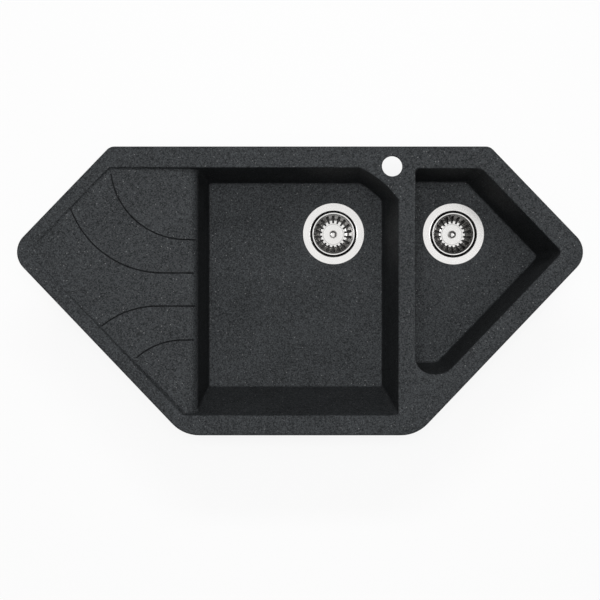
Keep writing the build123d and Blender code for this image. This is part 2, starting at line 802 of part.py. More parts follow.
waste_pieces = {
    "flange_gasket": flange_gasket,
    "strainer_cup": strainer_cup,
    "under_gasket": under_gasket,
    "waste_housing": waste_housing,
    "waste_screw": waste_screw,
    "waste_nut": waste_nut,
    "basket": basket,
    "basket_plate": basket_plate,
    "basket_knob": basket_knob,
    "plug_seal": plug_seal,
    "plug_washer": plug_washer,
}
for bowl_name, place in (("main", main_waste), ("half", half_waste)):
    for piece_name, make_piece in waste_pieces.items():
        piece = make_piece(place)
        piece.part.label = f"{bowl_name}_{piece_name}"
        export_step(piece.part, f"parts/{bowl_name}_{piece_name}.step")


# ---------------------------------------------------------------- worktop clamps
def clamp(place):
    """A steel bar with a turned-up toe. The screw is at the place, and the bar lies along its X axis."""
    with BuildPart() as bar:
        with BuildSketch(place):
            Circle(clamp_width / 2.0)
            with Locations((clamp_reach / 2.0, 0.0)):
                Rectangle(clamp_reach, clamp_width)
        extrude(amount=-clamp_sheet)
        with BuildSketch(place):
            with Locations((clamp_reach - clamp_sheet / 2.0, 0.0)):
                Rectangle(clamp_sheet, clamp_width)
        extrude(amount=clamp_toe_height)
        inner_bend = place.from_local_coords((clamp_reach - clamp_sheet, 0.0, 0.0))
        fillet(bar.edges().sort_by_distance(inner_bend)[0], clamp_bend_radius)
        outer_bend = place.from_local_coords((clamp_reach, 0.0, -clamp_sheet))
        fillet(bar.edges().sort_by_distance(outer_bend)[0], clamp_bend_radius + clamp_sheet)
        with BuildSketch(place):
            Circle(clamp_screw_radius + clamp_hole_gap)
        extrude(amount=-clamp_sheet, mode=Mode.SUBTRACT)
    return bar


for count, (number, along, parked) in enumerate(clamp_places, start=1):
    facing_x, facing_y, distance = deck_sides[number]
    x, y = clamp_points[count - 1]
    bar_direction = (-facing_y * parked, facing_x * parked, 0.0)
    piece = clamp(Plane(origin=(x, y, -clamp_depth), x_dir=bar_direction, z_dir=(0.0, 0.0, 1.0)))
    piece.part.label = f"clamp_{count}"
    export_step(piece.part, f"parts/clamp_{count}.step")

with BuildPart() as clamp_screws:
    with BuildSketch(Plane.XY.offset(-clamp_screw_top)):
        with Locations(clamp_points):
            Circle(clamp_screw_radius)
    extrude(amount=clamp_screw_top - clamp_depth - clamp_sheet)
    with BuildSketch(Plane.XY.offset(-clamp_depth - clamp_sheet)):
        with Locations(clamp_points):
            Circle(clamp_screw_head_radius)
    extrude(amount=-clamp_screw_head_height)
    with BuildSketch(Plane.XY.offset(-clamp_depth - clamp_sheet - clamp_screw_head_height)):
        with Locations(clamp_points):
            Rectangle(2.0 * clamp_screw_head_radius, screw_slot_width)
    extrude(amount=screw_slot_depth, mode=Mode.SUBTRACT)

clamp_screws.part.label = "clamp_screws"
export_step(clamp_screws.part, "parts/clamp_screws.step")

with BuildPart() as clamp_dowels:
    with BuildSketch(Plane.XY.offset(-dowel_top)):
        with Locations(clamp_points):
            Circle(dowel_radius)
    extrude(amount=dowel_top - rib_depth)
    with BuildSketch(Plane.XY.offset(-rib_depth)):
        with Locations(clamp_points):
            Circle(dowel_collar_radius)
    extrude(amount=-dowel_collar_height)
    with BuildSketch(Plane.XY.offset(-clamp_screw_top)):
        with Locations(clamp_points):
            Circle(clamp_screw_radius)
    extrude(amount=clamp_screw_top - rib_depth - dowel_collar_height, mode=Mode.SUBTRACT)

clamp_dowels.part.label = "clamp_dowels"
export_step(clamp_dowels.part, "parts/clamp_dowels.step")
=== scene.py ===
"""Looks of the corner kitchen sink: its finishes, its threads and the plain stage below it.

Metres, in the part's own frame: +X to the right, +Y to the back, +Z up, with Z = 0 at the worktop.
"""

import json
import math

import bmesh
import bpy
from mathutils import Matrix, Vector

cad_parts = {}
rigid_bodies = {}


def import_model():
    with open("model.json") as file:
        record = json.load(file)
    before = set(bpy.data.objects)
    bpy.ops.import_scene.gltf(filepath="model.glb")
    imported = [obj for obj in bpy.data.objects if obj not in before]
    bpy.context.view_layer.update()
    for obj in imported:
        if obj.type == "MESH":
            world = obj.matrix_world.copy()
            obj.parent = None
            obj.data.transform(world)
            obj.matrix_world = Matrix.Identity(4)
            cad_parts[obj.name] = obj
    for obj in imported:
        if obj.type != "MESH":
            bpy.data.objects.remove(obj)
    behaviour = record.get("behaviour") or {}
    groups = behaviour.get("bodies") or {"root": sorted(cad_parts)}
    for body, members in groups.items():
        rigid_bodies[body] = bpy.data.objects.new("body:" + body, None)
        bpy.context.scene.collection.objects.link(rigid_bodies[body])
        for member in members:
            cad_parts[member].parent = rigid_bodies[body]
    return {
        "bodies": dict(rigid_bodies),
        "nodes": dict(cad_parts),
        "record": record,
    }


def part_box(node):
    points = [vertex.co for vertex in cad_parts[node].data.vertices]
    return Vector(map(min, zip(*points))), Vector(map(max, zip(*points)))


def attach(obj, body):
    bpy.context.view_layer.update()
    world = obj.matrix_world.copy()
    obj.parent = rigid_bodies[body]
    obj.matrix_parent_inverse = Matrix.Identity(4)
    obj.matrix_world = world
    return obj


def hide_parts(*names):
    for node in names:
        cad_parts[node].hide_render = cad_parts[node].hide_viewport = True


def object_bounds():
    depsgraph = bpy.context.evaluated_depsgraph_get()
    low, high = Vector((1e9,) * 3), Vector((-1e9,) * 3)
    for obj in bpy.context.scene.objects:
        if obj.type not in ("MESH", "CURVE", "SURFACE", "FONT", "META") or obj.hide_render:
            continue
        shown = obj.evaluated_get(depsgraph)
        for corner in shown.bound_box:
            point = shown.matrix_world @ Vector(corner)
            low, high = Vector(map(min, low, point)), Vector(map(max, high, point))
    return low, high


bl_info = {
    "name": "Corner Kitchen Sink",
    "version": (1, 0, 0),
    "blender": (4, 5, 0),
    "location": "3D View > Sidebar > Corner Sink",
    "description": "Dresses a corner kitchen sink of stone composite with steel basket strainers",
    "category": "Object",
}

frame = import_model()
CAD_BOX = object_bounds()
BOWLS = ("main", "half")
MILLIMETRE = 0.001
SAME_PLACE = 0.001 * MILLIMETRE
JOINED_WITHIN = 0.002 * MILLIMETRE  # for the CAD nodes, whose triangles come with loose corners
SHARP_ANGLE = math.radians(32.0)
SENSOR_WIDTH = 36.0
UPWARDS = (0.0, 0.0, 1.0)

# Strainers: the steel's brightness by radius in millimetres, which paints shade dark inside the
# cup, on the basket's steep walls and in a thin line round its plate, the basket's slots as the
# solids have them and, a little wider, as they are shown, and the turned knob. The turns are in
# degrees.
FLANGE_RADIUS = 56.0 * MILLIMETRE
# Painted shade: dark inside the cup, bright on the flange.
CUP_PAINTED_SHADE = ((41.0, 0.06), (42.5, 1.0))
# Painted shade: a dark line round the plate and darker steep walls, bright again on the rim.
BASKET_PAINTED_SHADE = (
    (18.3, 1.0), (18.7, 0.4), (19.3, 1.0), (24.5, 1.0), (28.0, 0.65), (36.5, 0.45), (37.2, 1.0))
SLOT_COUNT = 18
SLOT_START, SLOT_END = 20.6 * MILLIMETRE, 33.8 * MILLIMETRE
SLOT_EDGE = 0.12 * MILLIMETRE
SLOT_WIDTHS = (2.4 * MILLIMETRE, 4.4 * MILLIMETRE)
OPEN_SLOT_WIDTHS = (3.3 * MILLIMETRE, 5.4 * MILLIMETRE)
KNOB_RADIUS = 7.0 * MILLIMETRE
KNOB_EDGE_RADIUS = 0.8 * MILLIMETRE
KNOB_STEM_RADIUS = 3.0 * MILLIMETRE
KNOB_NECK_RADIUS = 4.0 * MILLIMETRE
KNOB_WAIST_RADIUS = 3.2 * MILLIMETRE
KNOB_HEAD_HEIGHT = 6.0 * MILLIMETRE
KNOB_DOME_HEIGHT = 3.8 * MILLIMETRE
KNOB_EDGE_TURNS = range(0, 91, 30)
KNOB_DOME_TURNS = range(0, 85, 6)
KNOB_SIDES = 64

# Threads: how far a core runs out into the plain cylinder, how near to that a point counts as on
# it, and the steps of a ridge in one turn.
THREAD_RUN_OUT = 0.4 * MILLIMETRE
ON_CYLINDER = 0.05 * MILLIMETRE
OUTLET_STEPS, SCREW_STEPS = 48, 16
CLAMP_SCREW_RADIUS = 2.5 * MILLIMETRE
CLAMP_SCREW_HEAD = 3.5 * MILLIMETRE

# Drainer: it falls from the left tip in a wide arc, and rolls over into the main bowl in a small
# one. The two diagonals would meet at the tip's corner, and have these slopes. All in metres.
TIP_CORNER = (-0.4946, 0.066)
BACK_SLOPE, FRONT_SLOPE = 1.0392, -1.0483
DECK_BACK = 0.245
RIM_MIDDLE = 0.012  # from the deck's outline to the middle of the rim beside the drainer
DRAINER_TIP_HEIGHT = 0.0045
DRAINER_FALL_RADIUS = 3.87
ROLL_START, ROLL_MIDDLE, ROLL_END = -0.198, -0.2001, -0.1801
ROLL_RADIUS = 0.025
GROOVE_DEPTH = 0.0022
GROOVE_FLOOR = (0.2, 0.7)  # the shares of the depth between which a side turns into the floor

# Composite: the grains' spacing as a share of the light grains', their radius as a share of their
# own spacing, the share of the points that have one, and how fully it covers the resin.
FINE_GRAIN_SPACING, DARK_GRAIN_SPACING = 0.4, 0.7
LIGHT_GRAIN_RADIUS, LIGHT_GRAIN_SHARE, LIGHT_GRAIN_COVER = 0.17, 0.14, 0.75
FINE_GRAIN_RADIUS, FINE_GRAIN_SHARE, FINE_GRAIN_COVER = 0.28, 0.1, 0.4
DARK_GRAIN_RADIUS, DARK_GRAIN_SHARE, DARK_GRAIN_COVER = 0.25, 0.16, 0.7
DARK_GRAIN_COLOUR = (0.006, 0.006, 0.0065)
# Painted shade: the grooves' floors are darkened towards this colour, standing in for the shade in
# them.
PAINTED_GROOVE_SHADE_COLOUR = (0.004, 0.004, 0.0044)
COAT_ROUGHNESS = 0.4

# The other pieces' colours, and the floor's.
WASTE_PLASTIC_COLOUR = (0.62, 0.63, 0.64)
DOWEL_PLASTIC_COLOUR = (0.55, 0.55, 0.53)
ZINC_COLOUR = (1.0, 1.0, 0.98)
BRASS_COLOUR = (0.82, 0.62, 0.30)
WHITE = (1.0, 1.0, 1.0)
FLOOR_PAINT = (0.9, 0.9, 0.9)
FLOOR_WHITENESS = 0.84  # how much of the floor is plain white; the rest takes light and shadow

# The soft lamps: name, place, the point that it faces, width and depth, whether only its light or
# only its glare is seen, and its power as a share of the lamp power setting. The steel mirrors the
# white room and not the lamps above it, so that it does not clip.
LAMPS = (
    ("lamp_near", (0.0, 0.1, 2.8), (0.0, 0.1, 0.0), (1.0, 1.0), "light", 0.5),
    ("lamp_high", (0.0, 0.2, 5.6), (0.0, 0.0, 0.0), (1.6, 1.2), "light", 6.0),
    ("lamp_behind", (0.0, 1.4, 2.4), (0.0, 0.0, 0.0), (1.2, 0.3), "light", 0.65),
    ("glare_left", (-1.5, 0.1, 1.3), (0.18, 0.0, 0.0), (0.7, 1.2), "glare", 0.3),
    ("glare_right", (1.5, 0.1, 1.3), (-0.18, 0.0, 0.0), (0.7, 1.2), "glare", 0.3),
)


# ---------------------------------------------------------------- what a user would change
class CompositeSettings(bpy.types.PropertyGroup):
    """The cast stone composite of the moulding."""

    colour: bpy.props.FloatVectorProperty(
        name="Colour", description="Colour of the resin and the fine sand in it",
        default=(0.0345, 0.037, 0.0392), size=3, min=0.0, max=1.0, subtype="COLOR")
    fleck_colour: bpy.props.FloatVectorProperty(
        name="Fleck Colour", description="Colour of the light grains",
        default=(0.21, 0.21, 0.215), size=3, min=0.0, max=1.0, subtype="COLOR")
    fleck_size: bpy.props.FloatProperty(
        name="Fleck Spacing", description="Distance between the light grains",
        default=0.005, min=0.0005, max=0.02, subtype="DISTANCE", unit="LENGTH")
    grain_size: bpy.props.FloatProperty(
        name="Grain Size", description="Size of the fine sand",
        default=0.002, min=0.0003, max=0.01, subtype="DISTANCE", unit="LENGTH")
    grain_height: bpy.props.FloatProperty(
        name="Grain Height", description="Height of the fine roughness that the mould leaves",
        default=0.00012, min=0.0, max=0.001, subtype="DISTANCE", unit="LENGTH")
    roughness: bpy.props.FloatProperty(
        name="Roughness", description="Roughness of the matt surface",
        default=0.38, min=0.0, max=1.0, subtype="FACTOR")
    # Painted shade in the grooves: how far their floors are darkened towards the groove colour.
    painted_groove_shade: bpy.props.FloatProperty(
        name="Groove Shade",
        description="How much darker the dense resin in the grooves is than the rest",
        default=0.75, min=0.0, max=1.0, subtype="FACTOR")
    gloss: bpy.props.FloatProperty(
        name="Gloss",
        description="Share of the surface that shines: the sealed resin between the grains",
        default=0.12, min=0.0, max=1.0, subtype="FACTOR")


class SteelSettings(bpy.types.PropertyGroup):
    """The stainless steel of the strainers."""

    colour: bpy.props.FloatVectorProperty(
        name="Colour", description="Colour of the stainless steel",
        default=(0.86, 0.85, 0.835), size=3, min=0.0, max=1.0, subtype="COLOR")
    roughness: bpy.props.FloatProperty(
        name="Roughness", description="Roughness of the satin finish",
        default=0.22, min=0.0, max=1.0, subtype="FACTOR")
    line_spacing: bpy.props.FloatProperty(
        name="Line Spacing", description="Distance between the fine rings that turning leaves",
        default=0.0007, min=0.0001, max=0.01, subtype="DISTANCE", unit="LENGTH")


class ThreadSettings(bpy.types.PropertyGroup):
    """The outlets' pipe threads and the threads of the clamp screws."""

    outlet_pitch: bpy.props.FloatProperty(
        name="Outlet Pitch", description="Rise of the 1 1/2 inch pipe thread in one turn",
        default=0.00231, min=0.001, max=0.006, subtype="DISTANCE", unit="LENGTH")
    outlet_ridge: bpy.props.FloatProperty(
        name="Outlet Ridge", description="Height of the pipe thread's ridge above its core",
        default=0.0011, min=0.0002, max=0.002, subtype="DISTANCE", unit="LENGTH")
    screw_pitch: bpy.props.FloatProperty(
        name="Screw Pitch", description="Rise of the clamp screws' thread in one turn",
        default=0.0008, min=0.0004, max=0.002, subtype="DISTANCE", unit="LENGTH")
    screw_ridge: bpy.props.FloatProperty(
        name="Screw Ridge", description="Height of the clamp screws' thread above its core",
        default=0.00038, min=0.0001, max=0.001, subtype="DISTANCE", unit="LENGTH")


class StageSettings(bpy.types.PropertyGroup):
    """Camera, lamps and floor."""

    camera_height: bpy.props.FloatProperty(
        name="Camera Height", description="Height of the camera above the worktop",
        default=2.193, min=0.5, max=10.0, subtype="DISTANCE", unit="LENGTH")
    camera_forward: bpy.props.FloatProperty(
        name="Camera Forward",
        description="How far the camera stands in front of the deck's middle",
        default=0.0154, min=-1.0, max=1.0, subtype="DISTANCE", unit="LENGTH")
    lens: bpy.props.FloatProperty(
        name="Lens", description="Focal length on a sensor 36 mm wide, in millimetres",
        default=77.46, min=10.0, max=300.0)
    lamp_power: bpy.props.FloatProperty(
        name="Lamp Power", description="Power of a soft lamp with a share of one",
        default=32.0, min=0.0, max=1000.0, unit="POWER")
    fill: bpy.props.FloatProperty(
        name="Fill", description="Strength of the even light from all round",
        default=0.08, min=0.0, max=5.0)
    floor_size: bpy.props.FloatProperty(
        name="Floor Size", description="Side of the square floor",
        default=12.0, min=2.0, max=100.0, subtype="DISTANCE", unit="LENGTH")


# ---------------------------------------------------------------- materials
class Value:
    """A node's output. Arithmetic on it adds Math nodes to its tree."""

    def __init__(self, nodes, socket):
        self.nodes = nodes
        self.socket = socket

    def maths(self, operation, first, second=0.0):
        settings = {"operation": operation}
        return self.nodes.node("ShaderNodeMath", settings, {0: first, 1: second})["Value"]

    def __add__(self, other):
        return self.maths("ADD", self, other)

    def __radd__(self, other):
        return self.maths("ADD", other, self)

    def __sub__(self, other):
        return self.maths("SUBTRACT", self, other)

    def __rsub__(self, other):
        return self.maths("SUBTRACT", other, self)

    def __mul__(self, other):
        return self.maths("MULTIPLY", self, other)

    def __rmul__(self, other):
        return self.maths("MULTIPLY", other, self)

    def __truediv__(self, other):
        return self.maths("DIVIDE", self, other)

    def __rtruediv__(self, other):
        return self.maths("DIVIDE", other, self)

    def __lt__(self, other):
        return self.maths("LESS_THAN", self, other)

    def __gt__(self, other):
        return self.maths("GREATER_THAN", self, other)

    def at_least(self, other):
        return self.maths("MAXIMUM", self, other)

    def at_most(self, other):
        return self.maths("MINIMUM", self, other)

    def root(self):
        return self.maths("SQRT", self)


class Nodes:
    """A node tree that is built with one call for each node."""

    def __init__(self, tree):
        self.tree = tree

    def node(self, kind, settings=None, sockets=None):
        """Adds a node: its settings first, then the values or links of its sockets."""
        made = self.tree.nodes.new(kind)
        for name, value in (settings or {}).items():
            if name == "stops":
                self.set_stops(made.color_ramp, value)
            else:
                setattr(made, name, value)
        for name, value in (sockets or {}).items():
            if isinstance(value, Value):
                self.tree.links.new(value.socket, made.inputs[name])
            else:
                made.inputs[name].default_value = value
        outputs = [socket for socket in made.outputs if socket.enabled]
        return {socket.name: Value(self, socket) for socket in outputs}

    def set_stops(self, ramp, stops):
        """Gives a colour ramp these stops, each a position and a grey."""
        while len(ramp.elements) < len(stops):
            ramp.elements.new(0.5)
        for element, (position, grey) in zip(ramp.elements, stops):
            element.position = position
            element.color = (grey, grey, grey, 1.0)


class Finish(Nodes):
    """A material."""

    def __init__(self, name):
        self.material = bpy.data.materials.new(name)
        self.material.use_nodes = True
        super().__init__(self.material.node_tree)
        self.tree.nodes.clear()

    def place(self, centre=(0.0, 0.0, 0.0)):
        """Object coordinates in metres, counted from a point of the part."""
        coordinates = self.node("ShaderNodeTexCoord")["Object"]
        sockets = {"Vector": coordinates, "Location": [-value for value in centre]}
        return self.node("ShaderNodeMapping", None, sockets)["Vector"]

    def noise(self, vector, size, detail=2.0, roughness=0.5):
        """Soft noise from 0 to 1, of this size in metres."""
        sockets = {"Vector": vector, "Scale": 1.0 / size, "Detail": detail, "Roughness": roughness}
        return self.node("ShaderNodeTexNoise", None, sockets)["Fac"]

    def cells(self, vector, size):
        """Distance to the nearest of many scattered points, and a random number for each."""
        made = self.node("ShaderNodeTexVoronoi", None, {"Vector": vector, "Scale": 1.0 / size})
        parts = self.node("ShaderNodeSeparateColor", None, {"Color": made["Color"]})
        return made["Distance"], parts["Red"]

    def vector_maths(self, operation, sockets):
        """The outputs of a Vector Math node."""
        return self.node("ShaderNodeVectorMath", {"operation": operation}, sockets)

    def coordinates(self, vector):
        """The three numbers of a vector."""
        made = self.node("ShaderNodeSeparateXYZ", None, {"Vector": vector})
        return made["X"], made["Y"], made["Z"]

    def ramp(self, value, stops):
        """A grey colour that goes from stop to stop, each a position and a brightness."""
        return self.node("ShaderNodeValToRGB", {"stops": stops}, {"Fac": value})["Color"]

    def blend(self, factor, first, second, way="MIX"):
        """Two colours by a Mix node, whose sockets for colours have the numbers 6 and 7."""
        settings = {"data_type": "RGBA", "blend_type": way}
        made = self.node("ShaderNodeMix", settings, {0: factor, 6: rgba(first), 7: rgba(second)})
        return made["Result"]

    def tint(self, shade, colour):
        """A colour in the shades of a grey one."""
        return self.blend(1.0, shade, colour, "MULTIPLY")

    def bump(self, height, distance):
        """Fine relief, with a height of one as this distance in metres."""
        sockets = {"Height": height, "Distance": distance}
        return self.node("ShaderNodeBump", None, sockets)["Normal"]

    def surface(self, **sockets):
        """The Principled shader, wired to the output. Underscores in names stand for spaces."""
        named = {name.replace("_", " "): value for name, value in sockets.items()}
        shader = self.node("ShaderNodeBsdfPrincipled", None, named)["BSDF"]
        self.node("ShaderNodeOutputMaterial", None, {"Surface": shader})
        return self.material


def seen_directly(nodes):
    """One where the stage is seen, also in metal and through glass, and nought for its light."""
    path = nodes.node("ShaderNodeLightPath")
    return path["Is Camera Ray"] + path["Is Glossy Ray"] + path["Is Transmission Ray"]


def rgba(colour):
    """A colour with its alpha, unless it is a node's output."""
    return colour if isinstance(colour, Value) else (*colour, 1.0)


def inside_drainer(x, y):
    """One within the middle of the rim round the drainer, and nought elsewhere."""
    along = x - TIP_CORNER[0]
    rim = RIM_MIDDLE * math.sqrt(1.0 + BACK_SLOPE ** 2)
    edge = DECK_BACK - RIM_MIDDLE
    before_back = (y < edge) * (y < along * BACK_SLOPE + (TIP_CORNER[1] - rim))
    behind_front = (y > -edge) * (y > along * FRONT_SLOPE + (TIP_CORNER[1] + rim))
    return before_back * behind_front * (x < ROLL_END)


def painted_groove_shade_mask(finish, where):
    """One on the floors of the drainer's grooves, which lie below its surface, and else nought:
    where shade is painted.
    """
    x, y, z = finish.coordinates(where)
    fall = x.at_most(ROLL_START) - TIP_CORNER[0]
    rolled = x.at_least(ROLL_START) - ROLL_MIDDLE
    roll_start_height = math.sqrt(ROLL_RADIUS ** 2 - (ROLL_START - ROLL_MIDDLE) ** 2)
    roll_drop = roll_start_height - (ROLL_RADIUS ** 2 - rolled * rolled).root()
    surface = DRAINER_TIP_HEIGHT - fall * fall * (0.5 / DRAINER_FALL_RADIUS) - roll_drop
    start, end = GROOVE_FLOOR
    sunk = ((surface - z) / GROOVE_DEPTH - start) / (end - start)
    return sunk.at_least(0.0).at_most(1.0) * inside_drainer(x, y)


def composite():
    """Cast stone composite: dark resin with sand, light grains and some darker ones, with painted
    shade on the floors of the drainer's grooves.
    """
    settings = bpy.context.scene.sink_composite
    finish = Finish("anthracite_composite")
    where = finish.place()
    sand = finish.noise(where, settings.grain_size, 3.0, 0.7)
    cloud = finish.noise(where, 40.0 * settings.grain_size)
    distance, chance = finish.cells(where, settings.fleck_size)
    light_grain = (distance < LIGHT_GRAIN_RADIUS) * (chance > 1.0 - LIGHT_GRAIN_SHARE)
    distance, chance = finish.cells(where, FINE_GRAIN_SPACING * settings.fleck_size)
    fine_grain = (distance < FINE_GRAIN_RADIUS) * (chance > 1.0 - FINE_GRAIN_SHARE)
    distance, chance = finish.cells(where, DARK_GRAIN_SPACING * settings.fleck_size)
    dark_grain = (distance < DARK_GRAIN_RADIUS) * (chance < DARK_GRAIN_SHARE)
    grit = finish.cells(where, 0.9 * settings.grain_size)[1]
    shade = finish.ramp(sand * 0.5 + grit * 0.35 + cloud * 0.15, [(0.27, 0.3), (0.73, 1.75)])
    base = finish.tint(shade, settings.colour)
    base = finish.blend(dark_grain * DARK_GRAIN_COVER, base, DARK_GRAIN_COLOUR)
    base = finish.blend(fine_grain * FINE_GRAIN_COVER, base, settings.fleck_colour)
    base = finish.blend(light_grain * LIGHT_GRAIN_COVER, base, settings.fleck_colour)
    # Painted shade: the floors of the grooves are darkened, as if in shade.
    base = finish.blend(painted_groove_shade_mask(finish, where) * settings.painted_groove_shade, base, PAINTED_GROOVE_SHADE_COLOUR)
    return finish.surface(
        Base_Color=base,
        Roughness=settings.roughness - 0.12 + sand * 0.24,
        Specular_IOR_Level=0.0,
        Coat_Weight=settings.gloss,
        Coat_Roughness=COAT_ROUGHNESS,
        Normal=finish.bump(sand + light_grain * 0.4, settings.grain_height),
    )


def satin_steel(name, centre, painted_shade=((0.0, 1.0),)):
    """Pressed stainless steel with the fine rings that turning and polishing leave in it.

    The painted shade is given by radius, in millimetres: the steel is darkened where it stands in
    for shade, inside the cup, on the basket's steep walls and round its plate.
    """
    settings = bpy.context.scene.sink_steel
    finish = Finish(name)
    where = finish.place(centre)
    flat = finish.vector_maths("MULTIPLY", {0: where, 1: (1.0, 1.0, 0.0)})["Vector"]
    radius = finish.vector_maths("LENGTH", {0: flat})["Value"]
    ring_place = finish.node("ShaderNodeCombineXYZ", None, {"X": radius})["Vector"]
    rings = finish.noise(ring_place, settings.line_spacing, 3.0, 0.6)
    smudge = finish.noise(where, 20.0 * MILLIMETRE)
    tone = finish.ramp(rings * 0.7 + smudge * 0.3, [(0.3, 0.9), (0.7, 1.04)])
    # Painted shade: the steel's colour is darkened by radius where shade falls.
    stops = [(at * MILLIMETRE / FLANGE_RADIUS, brightness) for at, brightness in painted_shade]
    bands = finish.ramp(radius / FLANGE_RADIUS, stops)
    painted_shade_colour = finish.tint(bands, settings.colour)
    return finish.surface(
        Base_Color=finish.tint(tone, painted_shade_colour),
        Metallic=1.0,
        Roughness=settings.roughness - 0.06 + rings * 0.1 + smudge * 0.04,
        Normal=finish.bump(rings, 0.02 * MILLIMETRE),
    )


def plated_steel():
    """Zinc-plated steel of the worktop clamps and the screws."""
    finish = Finish("zinc_plated_steel")
    where = finish.place()
    spangle, chance = finish.cells(where, 4.0 * MILLIMETRE)
    haze = finish.noise(where, 3.0 * MILLIMETRE, 4.0)
    tone = finish.ramp(haze * 0.7 + chance * 0.3, [(0.2, 0.45), (0.8, 0.62)])
    return finish.surface(
        Base_Color=finish.tint(tone, ZINC_COLOUR),
        Metallic=1.0,
        Roughness=0.3 + haze * 0.16 + chance * 0.05,
        Normal=finish.bump(haze + spangle * 0.3, 0.03 * MILLIMETRE),
    )


def rubber():
    """Black moulded rubber of the gaskets and the plug seals."""
    finish = Finish("black_rubber")
    where = finish.place()
    fine = finish.noise(where, 0.6 * MILLIMETRE)
    bloom = finish.noise(where, 12.0 * MILLIMETRE, 3.0)
    tone = finish.ramp(bloom, [(0.35, 0.014), (0.75, 0.03)])
    return finish.surface(
        Base_Color=tone,
        Roughness=0.62 + bloom * 0.2,
        Normal=finish.bump(fine, 0.04 * MILLIMETRE),
    )


def moulded_plastic(name, colour):
    """Plain moulded plastic with a fine mould grain."""
    finish = Finish(name)
    where = finish.place()
    fine = finish.noise(where, 0.9 * MILLIMETRE)
    flow = finish.noise(where, 30.0 * MILLIMETRE)
    tone = finish.ramp(flow, [(0.3, 0.93), (0.7, 1.03)])
    return finish.surface(
        Base_Color=finish.tint(tone, colour),
        Roughness=0.38 + fine * 0.12,
        Normal=finish.bump(fine, 0.03 * MILLIMETRE),
    )


def brass():
    """Turned brass of the nut inserts."""
    finish = Finish("turned_brass")
    where = finish.place()
    tarnish = finish.noise(where, 4.0 * MILLIMETRE, 3.0)
    tone = finish.ramp(tarnish, [(0.3, 0.75), (0.7, 1.0)])
    return finish.surface(
        Base_Color=finish.tint(tone, BRASS_COLOUR),
        Metallic=1.0,
        Roughness=0.26 + tarnish * 0.2,
        Normal=finish.bump(tarnish, 0.02 * MILLIMETRE),
    )


# ---------------------------------------------------------------- meshes
def new_object(name, data):
    """An object with this data, linked to the scene."""
    made = bpy.data.objects.new(name, data)
    bpy.context.scene.collection.objects.link(made)
    return made


def shade_evenly(mesh):
    """Shades a mesh smooth where its faces meet gently."""
    mesh.shade_smooth()
    mesh.set_sharp_from_angle(angle=SHARP_ANGLE)


def tidy_mesh(mesh, make_changes=None):
    """Joins what lies together and turns the faces outwards, after any changes to the shape."""
    shape = bmesh.new()
    shape.from_mesh(mesh)
    bmesh.ops.remove_doubles(shape, verts=shape.verts, dist=JOINED_WITHIN)
    if make_changes:
        make_changes(shape)
    bmesh.ops.recalc_face_normals(shape, faces=shape.faces)
    shape.to_mesh(mesh)
    shape.free()


def smooth_copy(node, name, make_changes=None):
    """The CAD node's own shape, joined up and with even shading."""
    mesh = frame["nodes"][node].data.copy()
    mesh.name = name
    tidy_mesh(mesh, make_changes)
    shade_evenly(mesh)
    piece = new_object(name, mesh)
    weighted = piece.modifiers.new("even_shading", "WEIGHTED_NORMAL")
    weighted.keep_sharp = True
    weighted.weight = 100
    return piece


def dress(piece, material):
    """Gives a piece this material alone."""
    piece.data.materials.clear()
    piece.data.materials.append(material)


def dressed_copy(node, name, body, material, make_changes=None):
    """A smooth copy that stands for its CAD node."""
    piece = smooth_copy(node, name, make_changes)
    dress(piece, material)
    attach(piece, body)
    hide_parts(node)


def mount(name):
    """The record's own entry for one of the part's mounts."""
    return next(entry for entry in frame["record"]["mounts"] if entry["name"] == name)


def middle(node):
    """The middle of a CAD node's box."""
    low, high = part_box(node)
    return (low + high) / 2.0


class Recipe(Nodes):
    """A Geometry Nodes tree that makes a mesh from points and named sizes."""

    KINDS = {float: "NodeSocketFloat", int: "NodeSocketInt"}

    def __init__(self, name, sizes):
        super().__init__(bpy.data.node_groups.new(name, "GeometryNodeTree"))
        self.socket("Geometry", "INPUT", "NodeSocketGeometry")
        for size, kind in sizes.items():
            self.socket(size, "INPUT", self.KINDS[kind])
        self.socket("Geometry", "OUTPUT", "NodeSocketGeometry")
        self.given = self.node("NodeGroupInput")

    def socket(self, name, way, kind):
        """Adds a socket to the tree's own interface."""
        self.tree.interface.new_socket(name=name, in_out=way, socket_type=kind)

    def give(self, instances, material):
        """Ends the tree: the instances become one mesh of this material."""
        real = self.node("GeometryNodeRealizeInstances", None, {"Geometry": instances})["Geometry"]
        sockets = {"Geometry": real, "Material": material}
        painted = self.node("GeometryNodeSetMaterial", None, sockets)["Geometry"]
        self.node("NodeGroupOutput", None, {"Geometry": painted})

    def make(self, name, points, sizes):
        """A plain piece, as the tree makes it at these points and of these sizes."""
        mesh = bpy.data.meshes.new(name)
        mesh.from_pydata(points, [], [])
        piece = new_object(name, mesh)
        modifier = piece.modifiers.new(self.tree.name, "NODES")
        modifier.node_group = self.tree
        for item in self.tree.interface.items_tree:
            if item.in_out == "INPUT" and item.name in sizes:
                modifier[item.identifier] = sizes[item.name]
        graph = bpy.context.evaluated_depsgraph_get()
        made = bpy.data.meshes.new_from_object(piece.evaluated_get(graph))
        piece.modifiers.clear()
        piece.data = made
        tidy_mesh(made)
        return piece


